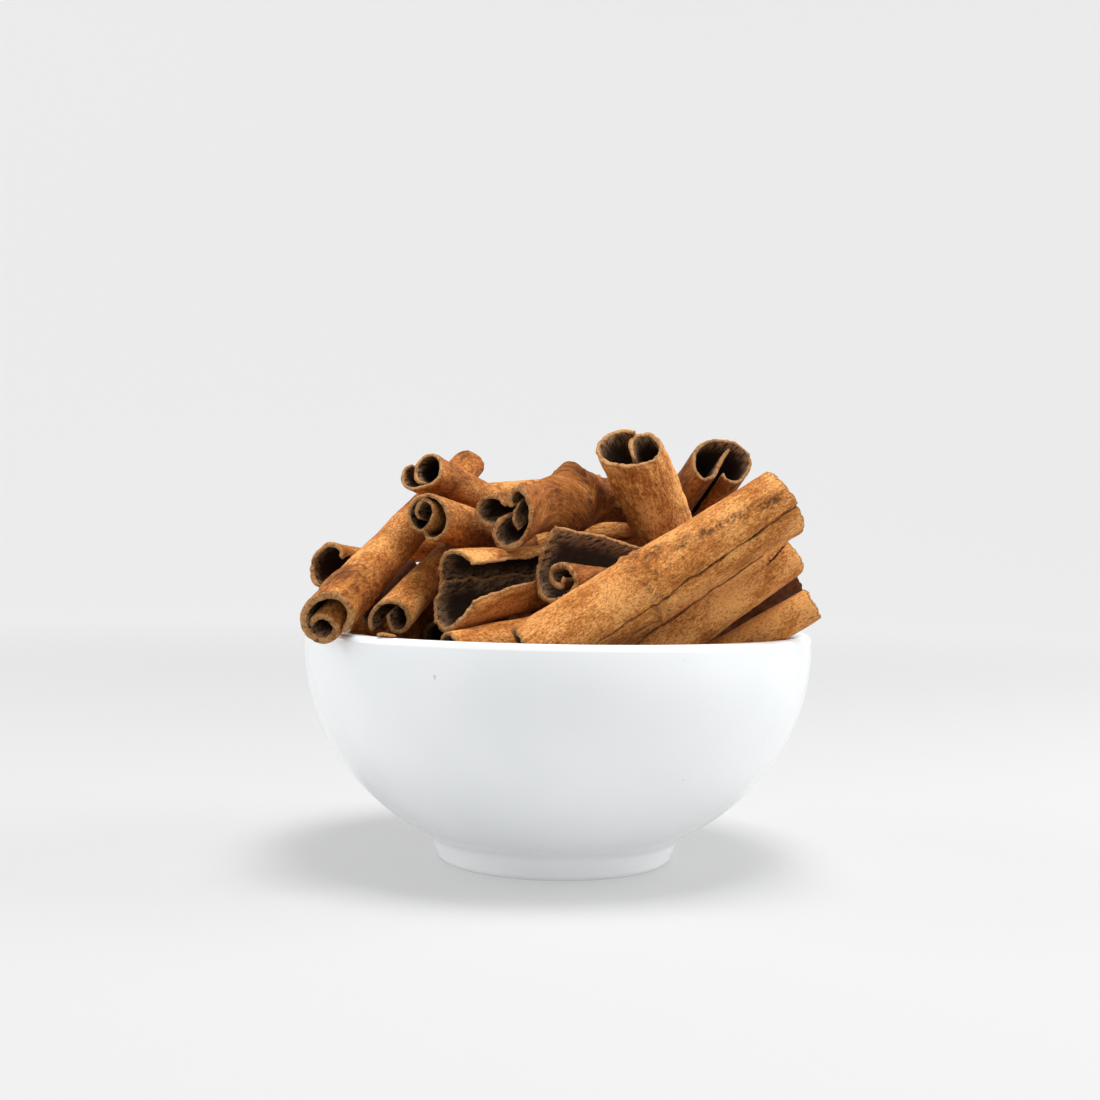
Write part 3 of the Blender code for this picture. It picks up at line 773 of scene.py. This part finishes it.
DEEP = (
    ((-45.0, -27.0, 62.9), (-39.5, 8.0, 73.5), 3.6),
    ((4, -26, 15), (34, 9, 19), 6.4),
    ((-11, -21, 15), (21, 12, 15), 6.8),
    ((-26, -4, 15), (12, 22, 15), 6.6),
    ((-21, 15, 15), (18, 39, 25), 7.0),
    ((-5, -54, 42), (35, -23, 23), 5.7),
    ((-3, -42, 28), (37, -5, 23), 6.2),
    ((-6, -28, 25), (28, 15, 27), 6.1),
    ((-28, -21, 19), (14, 15, 23), 6.2),
    ((-28, -6, 31), (-5, 44, 30), 6.4),
    ((-36, 3, 20), (-16, 50, 38), 6.4),
    ((44, -32, 45), (49, 26, 49), 6.0),
    ((34, -32, 37), (43, 25, 33), 6.5),
    ((10, -19, 36), (30, 35, 41), 6.0),
    ((-7, -25, 37), (17, 28, 34), 6.3),
    ((-29, -38, 33), (-4, 15, 31), 6.1),
    ((-39, -36, 42), (-50, 20, 50), 6.0),
    ((-46, -17, 33), (-34, 39, 37), 6.2),
    ((-30, -46, 45), (22, -27, 38), 5.8),
    ((-20, -33, 51), (29, -8, 45), 5.5),
    ((-17, -21, 44), (16, 24, 47), 6.1),
    ((-25, -11, 42), (10, 33, 41), 5.8),
    ((-30, 5, 46), (8, 46, 37), 5.9),
    ((-38, 17, 48), (5, 54, 44), 6.0),
    ((-25, 50, 56), (31, 46, 57), 6.0),
    ((-14, -17, 56), (-3, 29, 50), 5.6),
)

CHIPS = (
    Quill("rim_chip", (-41.3, -48.0, 59.5), (-36.9, -51.4, 59.4), 1.7, 1.3,
          (Sheet(((-0.95, -0.05), (-0.3, 0.30), (0.35, 0.33), (0.95, 0.0)), 0.8, 0.5),),
          twist=0.0, column_step=0.3, row_step=0.3),
)


class Nodes:
    """Adds shader nodes to a material and joins them."""

    def __init__(self, material: bpy.types.Material) -> None:
        """Keeps the material's node tree and its Principled shader."""
        self.tree = material.node_tree
        self.shader = self.tree.nodes["Principled BSDF"]

    def add(self, kind: str, **settings: object) -> bpy.types.Node:
        """A new node with the given properties set."""
        node = self.tree.nodes.new(kind)
        for key, value in settings.items():
            setattr(node, key, value)
        return node

    def join(self, source: object, target: object) -> None:
        """Links an output to an input, or sets the input where source is a number or colour."""
        if isinstance(source, bpy.types.NodeSocket):
            self.tree.links.new(source, target)
        else:
            target.default_value = source

    def attribute(self, name: str) -> bpy.types.NodeSocket:
        """The value of a mesh attribute."""
        return self.add("ShaderNodeAttribute", attribute_name=name).outputs["Fac"]

    def maths(self, operation: str, a: object, b: object = 0.0, c: object = 0.0) -> bpy.types.NodeSocket:
        """A Math node's result."""
        node = self.add("ShaderNodeMath", operation=operation)
        for source, target in zip((a, b, c), node.inputs):
            self.join(source, target)
        return node.outputs[0]

    def span(
        self, value: object, low: float, high: float, to_low: float = 0.0, to_high: float = 1.0
    ) -> bpy.types.NodeSocket:
        """value between low and high, carried smoothly to between to_low and to_high."""
        node = self.add("ShaderNodeMapRange", interpolation_type="SMOOTHSTEP")
        sources = {"Value": value, "From Min": low, "From Max": high, "To Min": to_low, "To Max": to_high}
        for key, source in sources.items():
            self.join(source, node.inputs[key])
        return node.outputs["Result"]

    def mix(self, share: object, a: object, b: object) -> bpy.types.NodeSocket:
        """Two colours mixed by share, through the Mix node's colour sockets."""
        node = self.add("ShaderNodeMix", data_type="RGBA")
        for source, socket in ((share, 0), (a, 6), (b, 7)):
            self.join(source, node.inputs[socket])
        return node.outputs[2]

    def noise(self, place: object, scale: float, detail: float, rough: float = 0.55) -> bpy.types.NodeSocket:
        """A Noise texture's value."""
        node = self.add("ShaderNodeTexNoise")
        self.join(place, node.inputs["Vector"])
        node.inputs["Scale"].default_value = scale
        node.inputs["Detail"].default_value = detail
        node.inputs["Roughness"].default_value = rough
        return node.outputs["Fac"]

    def stretched(self, place: object, scale: Point) -> bpy.types.NodeSocket:
        """Places scaled by a different number each way."""
        node = self.add("ShaderNodeMapping")
        self.join(place, node.inputs["Vector"])
        node.inputs["Scale"].default_value = scale
        return node.outputs["Vector"]


def colour(red: float, green: float, blue: float) -> tuple[float, float, float, float]:
    """A linear colour with full cover."""
    return red, green, blue, 1.0


@dataclass(frozen=True)
class BarkFinish:
    """Dry cinnamon bark: fibrous orange-brown outside, dark inside, tan where it is torn.
    It also carries painted shade: near-black deep inside the roll and in cracks, and darker
    whole sticks where they lie in shadow.
    """

    name: str = "bark"
    light: tuple = (0.78, 0.365, 0.110, 1.0)
    middle: tuple = (0.45, 0.155, 0.030, 1.0)
    deep: tuple = (0.125, 0.034, 0.007, 1.0)
    # inside is both the inner bark's dark colour and the near-black painted shade deep inside the roll
    inside: tuple = (0.018, 0.008, 0.004, 1.0)
    inside_light: tuple = (0.330, 0.185, 0.095, 1.0)
    torn: tuple = (0.68, 0.36, 0.145, 1.0)
    # spot darkens specks and knot scars, and paints shade where a dark band covers a whole sheet
    spot_and_shade: tuple = (0.055, 0.018, 0.007, 1.0)
    roughness: float = 0.78

    def material(self) -> bpy.types.Material:
        """Builds the shader.

        Returns:
            A material that reads the mesh's bark UV map, in millimetres over UV_SPAN, and its
            rim, side, crack, dark mark and tone values, and paints shade deep inside the rolls, in
            cracks and on dark-toned sticks.
        """
        material = bpy.data.materials.new(self.name)
        material.use_nodes = True
        n = Nodes(material)
        uv = n.add("ShaderNodeUVMap", uv_map="bark").outputs["UV"]
        tone_and_shade = n.attribute("tone_and_shade")
        shift = n.add("ShaderNodeCombineXYZ")
        n.join(n.maths("MULTIPLY", tone_and_shade, 91.0), shift.inputs["Z"])
        moved = n.add("ShaderNodeVectorMath", operation="MULTIPLY_ADD")
        n.join(uv, moved.inputs[0])
        moved.inputs[1].default_value = (UV_SPAN, UV_SPAN, 0)
        n.join(shift.outputs[0], moved.inputs[2])
        place = moved.outputs[0]

        fibres = n.noise(n.stretched(place, (1.0, 0.34, 1.0)), 1.25, 6.0, 0.68)
        fine = n.noise(n.stretched(place, (1.0, 0.42, 1.0)), 2.9, 5.0, 0.68)
        cloud = n.noise(n.stretched(place, (1.0, 0.45, 1.0)), 0.15, 3.0)
        mottle = n.noise(n.stretched(place, (1.0, 0.6, 1.0)), 0.9, 5.0, 0.65)

        shade = n.maths("MULTIPLY_ADD", fibres, 0.55, n.maths("MULTIPLY", fine, 0.45))
        shade = n.maths("MULTIPLY_ADD", cloud, 0.75, n.maths("SUBTRACT", shade, 0.375))
        # tone lightens or darkens the whole stick: partly its own tone, partly painted shade and painted
        # light for how much light the stick gets
        shade = n.maths("MULTIPLY_ADD", n.maths("SUBTRACT", tone_and_shade, 0.5), 0.42, shade)
        dark_to_mid = n.span(shade, 0.28, 0.5)
        mid_to_light = n.span(shade, 0.46, 0.67)
        outside = n.mix(dark_to_mid, self.deep, self.middle)
        outside = n.mix(mid_to_light, outside, self.light)
        outside = n.mix(n.span(fine, 0.53, 0.34, 0.0, 0.56), outside, self.deep)
        # low tone numbers pull the whole stick towards deep brown: darker bark together with painted shade on
        # sticks that lie in shadow
        outside = n.mix(n.span(tone_and_shade, 0.55, 0.0, 0.0, 0.62), outside, self.deep)
        freckle = n.span(mottle, 0.62, 0.72)
        outside = n.mix(n.maths("MULTIPLY", freckle, 0.55), outside, self.deep)
        specks = n.span(n.noise(n.stretched(place, (1.0, 0.4, 1.0)), 1.9, 4.0, 0.6), 0.66, 0.76)
        outside = n.mix(n.maths("MULTIPLY", specks, 0.5), outside, self.spot_and_shade)
        # knot scars and dark bands pull the outside towards the spot colour; a band over the whole sheet is
        # painted shade
        dark_mark = n.maths("MULTIPLY", n.attribute("dark_mark"), n.span(mottle, 0.42, 0.6))
        outside = n.mix(n.maths("MULTIPLY", dark_mark, 0.85), outside, self.spot_and_shade)

        inner = n.mix(n.span(fibres, 0.36, 0.62), self.inside, self.inside_light)
        # the inside fades from its lighter colour near the edges to near-black away from them: painted shade
        # deep inside the roll
        inner = n.mix(n.span(n.attribute("rim"), 0.2, 4.8, 0.0, 0.96), inner, self.inside)
        body = n.mix(n.attribute("side"), inner, outside)

        rim = n.attribute("rim")
        chipped = n.noise(place, 0.55, 6.0, 0.72)
        ragged = n.maths("MULTIPLY_ADD", n.maths("SUBTRACT", chipped, 0.5), 2.1, rim)
        edge = n.span(ragged, 0.06, 0.40, 1.0, 0.0)
        pitted = n.mix(n.span(n.noise(place, 1.7, 5.0, 0.75), 0.34, 0.54), self.middle, self.torn)
        pitted = n.mix(n.span(fine, 0.50, 0.36, 0.0, 0.6), pitted, self.deep)
        # torn edges of low-tone sticks go towards the inside's near-black: painted shade on sticks deep in
        # the heap
        pitted = n.mix(n.span(tone_and_shade, 0.0, 0.35, 0.2, 1.0), self.inside, pitted)
        body = n.mix(edge, body, pitted)

        # crack lines are painted near-black: painted shade in the crack's groove
        jagged = n.maths("MULTIPLY_ADD", n.maths("SUBTRACT", mottle, 0.5), 0.8, n.attribute("crack"))
        crack_line = n.maths("ABSOLUTE", jagged)
        crack = n.span(crack_line, 0.06, 0.30, 1.0, 0.0)
        body = n.mix(crack, body, colour(0.012, 0.006, 0.004))
        n.join(body, n.shader.inputs["Base Color"])
        uneven = n.span(fine, 0.3, 0.7, self.roughness - 0.1, self.roughness + 0.12)
        n.join(uneven, n.shader.inputs["Roughness"])
        n.shader.inputs["Specular IOR Level"].default_value = 0.16

        pits = n.noise(place, 3.0, 6.0, 0.7)
        relief = n.maths("MULTIPLY_ADD", fibres, 0.7, n.maths("MULTIPLY", fine, 0.45))
        relief = n.maths("MULTIPLY_ADD", n.maths("MULTIPLY", pits, edge), 1.6, relief)
        relief = n.maths("MULTIPLY_ADD", crack, -1.2, relief)
        bump = n.add("ShaderNodeBump")
        bump.inputs["Strength"].default_value = 0.9
        bump.inputs["Distance"].default_value = 0.00055
        n.join(relief, bump.inputs["Height"])
        n.join(bump.outputs["Normal"], n.shader.inputs["Normal"])
        return material


@dataclass(frozen=True)
class GlazeFinish:
    """Glossy white glaze with a few faint specks."""

    name: str = "glaze"
    white: tuple = (0.86, 0.88, 0.89, 1.0)
    shade: tuple = (0.82, 0.845, 0.86, 1.0)
    speck: tuple = (0.42, 0.40, 0.38, 1.0)
    roughness: float = 0.16

    def material(self) -> bpy.types.Material:
        """Builds the shader, which reads Object coordinates."""
        material = bpy.data.materials.new(self.name)
        material.use_nodes = True
        n = Nodes(material)
        place = n.add("ShaderNodeTexCoord").outputs["Object"]
        broad = n.noise(place, 22.0, 2.0)
        base = n.mix(n.span(broad, 0.35, 0.65), self.shade, self.white)
        specks = n.span(n.noise(place, 520.0, 1.0), 0.80, 0.84)
        base = n.mix(n.maths("MULTIPLY", specks, 0.5), base, self.speck)
        n.join(base, n.shader.inputs["Base Color"])
        n.join(n.span(n.noise(place, 60.0, 3.0), 0.3, 0.7, self.roughness - 0.03, self.roughness + 0.05),
               n.shader.inputs["Roughness"])
        n.shader.inputs["Coat Weight"].default_value = 0.35
        n.shader.inputs["Coat Roughness"].default_value = 0.08
        bump = n.add("ShaderNodeBump")
        bump.inputs["Strength"].default_value = 0.06
        bump.inputs["Distance"].default_value = 0.0004
        n.join(n.noise(place, 45.0, 2.0), bump.inputs["Height"])
        n.join(bump.outputs["Normal"], n.shader.inputs["Normal"])
        return material


@dataclass(frozen=True)
class Bowl:
    """The footed bowl as one smooth turned surface."""

    rim_radius: float = 65.0
    height: float = 59.3
    wall: float = 3.4
    shoulder: float = 55.4
    waist: tuple[float, float] = (36.2, 8.5)
    foot_top: tuple[float, float] = (31.6, 4.5)
    foot_radius: float = 30.4
    foot_edge: float = 1.4
    foot_ring: float = 4.2
    foot_recess: float = 3.0
    floor: float = 8.0
    steps: int = 224

    def curve(self, corners: Sequence[tuple[float, float]], count: int) -> np.ndarray:
        """Points of a cubic curve with the given four corners: the Bernstein sum of t."""
        t = np.linspace(0.0, 1.0, count)[:, None]
        a, b, c, d = (np.array(corner) for corner in corners)
        return a * (1 - t) ** 3 + 3 * b * t * (1 - t) ** 2 + 3 * c * t**2 * (1 - t) + d * t**3

    def profile(self) -> np.ndarray:
        """(radius, height) from the middle of the floor up the inside, over the lip and under the foot."""
        inside = self.curve(
            ((0.0, self.floor), (41.6, self.floor), (self.rim_radius - self.wall, 26.0),
             (self.rim_radius - self.wall, self.shoulder)), 44,
        )
        turn = np.linspace(0.0, math.pi, 22)
        half = self.wall / 2
        lip = np.column_stack(
            (self.rim_radius - half - half * np.cos(turn), self.height - half + half * np.sin(turn))
        )
        outside = self.curve(
            ((self.rim_radius, self.shoulder), (self.rim_radius, 34.3), (51.6, 17.2), self.waist), 54
        )
        neck = self.curve(
            (self.waist, (33.6, 7.2), (self.foot_top[0] - 0.2, 6.0), self.foot_top), 10
        )[1:]
        foot = np.array(
            (
                (self.foot_radius + 0.35, 2.6),
                (self.foot_radius, self.foot_edge),
                (self.foot_radius - 0.4, 0.45),
                (self.foot_radius - self.foot_edge, 0.0),
                (self.foot_radius - self.foot_ring, 0.0),
                (self.foot_radius - self.foot_ring - 0.9, 0.6),
                (self.foot_radius - self.foot_ring - self.foot_edge, self.foot_recess - 0.4),
                (self.foot_radius - self.foot_ring - 2.4, self.foot_recess),
                (0.0, self.foot_recess),
            )
        )
        return np.concatenate((inside, lip, outside, neck, foot))

    def surface(self) -> Surface:
        """The profile turned about +Z, with one point at each pole."""
        profile = self.profile()
        body = profile[1:-1]
        turn = np.linspace(0.0, 2 * math.pi, self.steps, endpoint=False)[None, :]
        radius, height = body[:, :1], body[:, 1:]
        ring = np.stack(
            (radius * np.cos(turn), radius * np.sin(turn), height + 0 * turn), -1
        ).reshape(-1, 3)
        rows = len(body)
        poles = np.array(((0.0, 0.0, profile[0, 1]), (0.0, 0.0, profile[-1, 1])))
        points = np.concatenate((ring, poles)) * MM
        quads = ring_quads(rows, self.steps)
        column = np.arange(self.steps)
        after = (column + 1) % self.steps
        top = np.stack((np.full(self.steps, rows * self.steps), after, column), -1)
        last = (rows - 1) * self.steps
        base = np.stack((np.full(self.steps, rows * self.steps + 1), last + column, last + after), -1)
        faces = [quads[:, ::-1], np.concatenate((top, base))[:, ::-1]]
        flat = points[:, :2] / (2 * self.rim_radius * MM) + 0.5
        return Surface(points, faces, [flat[part].reshape(-1, 2) for part in faces], {})

    def add(self, finish: bpy.types.Material) -> bpy.types.Object:
        """Builds and dresses the bowl in place of its CAD node."""
        obj = self.surface().build("footed_bowl")
        obj.data.materials.append(finish)
        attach(obj, "root")
        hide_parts("bowl")
        return obj


@dataclass(frozen=True)
class Heap:
    """Every stick in the bowl, those in sight and those under them, and the chip on its rim."""

    quills: tuple[Quill, ...] = QUILLS
    chips: tuple[Quill, ...] = CHIPS
    deep: tuple = DEEP
    deep_rolls: int = 5

    def add(self, finish: bpy.types.Material) -> list[bpy.types.Object]:
        """Builds each stick and chip as a piece of its own and the buried sticks as one piece.

        Args:
            finish: The bark material.

        Returns:
            The new objects.
        """
        made = []
        for quill in self.quills + self.chips:
            obj = quill.surface().build("quill_" + quill.name)
            obj.data.materials.append(finish)
            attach(obj, "root")
            if quill in self.quills:
                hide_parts(quill.name)
            made.append(obj)
            log.info("%s: %d faces", obj.name, len(obj.data.polygons))
        made.append(self.add_buried(finish))
        return made

    def add_buried(self, finish: bpy.types.Material) -> bpy.types.Object:
        """The sticks that lie under the heap, joined into one piece and darkened as painted shade."""
        rolls = tuple(Roll)[: self.deep_rolls]
        whole = None
        for place, (mouth, tail, radius) in enumerate(self.deep):
            sheet = Sheet(rolled(rolls[place % len(rolls)], 73.0 * place))
            # the buried sticks get low tone numbers: darkest bark, as painted shade deep in the heap
            quill = Quill(
                f"deep_{place}", mouth, tail, radius, 0.94 * radius, (sheet,),
                tone_and_shade=0.04 + 0.05 * (place % 9), column_step=1.2, row_step=2.4, edge_points=1,
            )
            part = quill.surface()
            whole = part if whole is None else whole.joined(part)
        obj = whole.build("buried_quills")
        obj.data.materials.append(finish)
        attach(obj, "root")
        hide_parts("buried_bark")
        log.info("%s: %d faces", obj.name, len(obj.data.polygons))
        return obj


@dataclass(frozen=True)
class Studio:
    """The pale floor that curves up all round, the soft lights and the camera."""

    reach: float = 2.2
    sweep: float = 0.9
    wall_top: float = 2.4
    grey: float = 0.31
    near_glow: float = 0.33
    far_glow: float = 0.60
    eye: Point = (-0.0024, -0.3975, 0.0810)
    pitch: float = -0.19
    roll: float = 1.0
    lens: float = 50.0

    def floor(self) -> bpy.types.Object:
        """A disc that rises at its edge in a quarter circle, as a turned surface."""
        turn = np.linspace(0.0, math.pi / 2, 14)
        radii = np.concatenate(
            ((0.05, 0.2, 0.6), self.reach - self.sweep + self.sweep * np.sin(turn), (self.reach,))
        )
        heights = np.concatenate(((0.0, 0.0, 0.0), self.sweep * (1 - np.cos(turn)), (self.wall_top,)))
        steps = 64
        around = np.linspace(0.0, 2 * math.pi, steps, endpoint=False)[None, :]
        wide = radii[:, None]
        ring = np.stack(
            (wide * np.cos(around), wide * np.sin(around), heights[:, None] + 0 * around), -1
        ).reshape(-1, 3)
        points = np.concatenate((ring, np.zeros((1, 3))))
        quads = ring_quads(len(radii), steps)[:, ::-1]
        column = np.arange(steps)
        fan = np.stack((np.full(steps, len(ring)), column, (column + 1) % steps), -1)
        faces = [quads, fan]
        flat = points[:, :2] / (4 * self.reach) + 0.5
        obj = Surface(points, faces, [flat[part].reshape(-1, 2) for part in faces], {}).build("studio_floor")
        material = bpy.data.materials.new("studio_floor")
        material.use_nodes = True
        shader = material.node_tree.nodes["Principled BSDF"]
        shader.inputs["Base Color"].default_value = colour(self.grey, self.grey, self.grey)
        shader.inputs["Roughness"].default_value = 0.9
        shader.inputs["Specular IOR Level"].default_value = 0.0
        shader.inputs["Emission Color"].default_value = colour(1.0, 1.0, 1.0)
        n = Nodes(material)
        away = n.add("ShaderNodeVectorMath", operation="LENGTH")
        n.join(n.add("ShaderNodeTexCoord").outputs["Object"], away.inputs[0])
        n.join(
            n.span(away.outputs["Value"], 0.15, 1.3, self.near_glow, self.far_glow),
            shader.inputs["Emission Strength"],
        )
        obj.data.materials.append(material)
        return obj

    def lamp(self, name: str, place: Point, size: float, power: float) -> None:
        """A square soft light at place that faces the heap."""
        light = bpy.data.lights.new(name, "AREA")
        light.size = size
        light.energy = power
        obj = bpy.data.objects.new(name, light)
        obj.location = place
        aim = Vector((0, 0, 0.07)) - Vector(place)
        obj.rotation_euler = aim.to_track_quat("-Z", "Y").to_euler()
        obj.visible_camera = False
        bpy.context.scene.collection.objects.link(obj)

    def lights(self) -> None:
        """Soft light from above, both sides and a little from the front, and pale air all round."""
        self.lamp("top_light", (0.10, -0.12, 0.85), 0.35, 7.0)
        self.lamp("left_light", (-0.75, 0.05, 0.40), 0.5, 2.4)
        self.lamp("right_light", (0.75, 0.10, 0.45), 0.5, 4.0)
        world = bpy.data.worlds.new("studio_air")
        world.use_nodes = True
        world.node_tree.nodes["Background"].inputs["Color"].default_value = colour(1.0, 1.0, 1.0)
        world.node_tree.nodes["Background"].inputs["Strength"].default_value = 0.38
        bpy.context.scene.world = world

    def camera(self) -> None:
        """The photograph's view: almost level, just above the rim."""
        data = bpy.data.cameras.new("camera")
        data.lens = self.lens
        data.sensor_width = 36.0
        obj = bpy.data.objects.new("camera", data)
        level = Matrix.Rotation(math.radians(90 + self.pitch), 4, "X")
        tilt = Matrix.Rotation(math.radians(self.roll), 4, "Z")
        obj.matrix_world = Matrix.Translation(self.eye) @ level @ tilt
        bpy.context.scene.collection.objects.link(obj)
        bpy.context.scene.camera = obj

    def add(self) -> None:
        """Sets the whole studio up."""
        self.floor()
        self.lights()
        self.camera()
        bpy.context.scene.view_settings.view_transform = "Standard"


def main() -> None:
    Studio().add()
    log.info("studio set")
    bowl = Bowl().add(GlazeFinish().material())
    log.info("%s: %d faces", bowl.name, len(bowl.data.polygons))
    pieces = Heap().add(BarkFinish().material())
    log.info("%d pieces of bark", len(pieces))


if __name__ == "__main__":
    logging.basicConfig(level=logging.INFO, format="%(name)s: %(message)s")
    main()
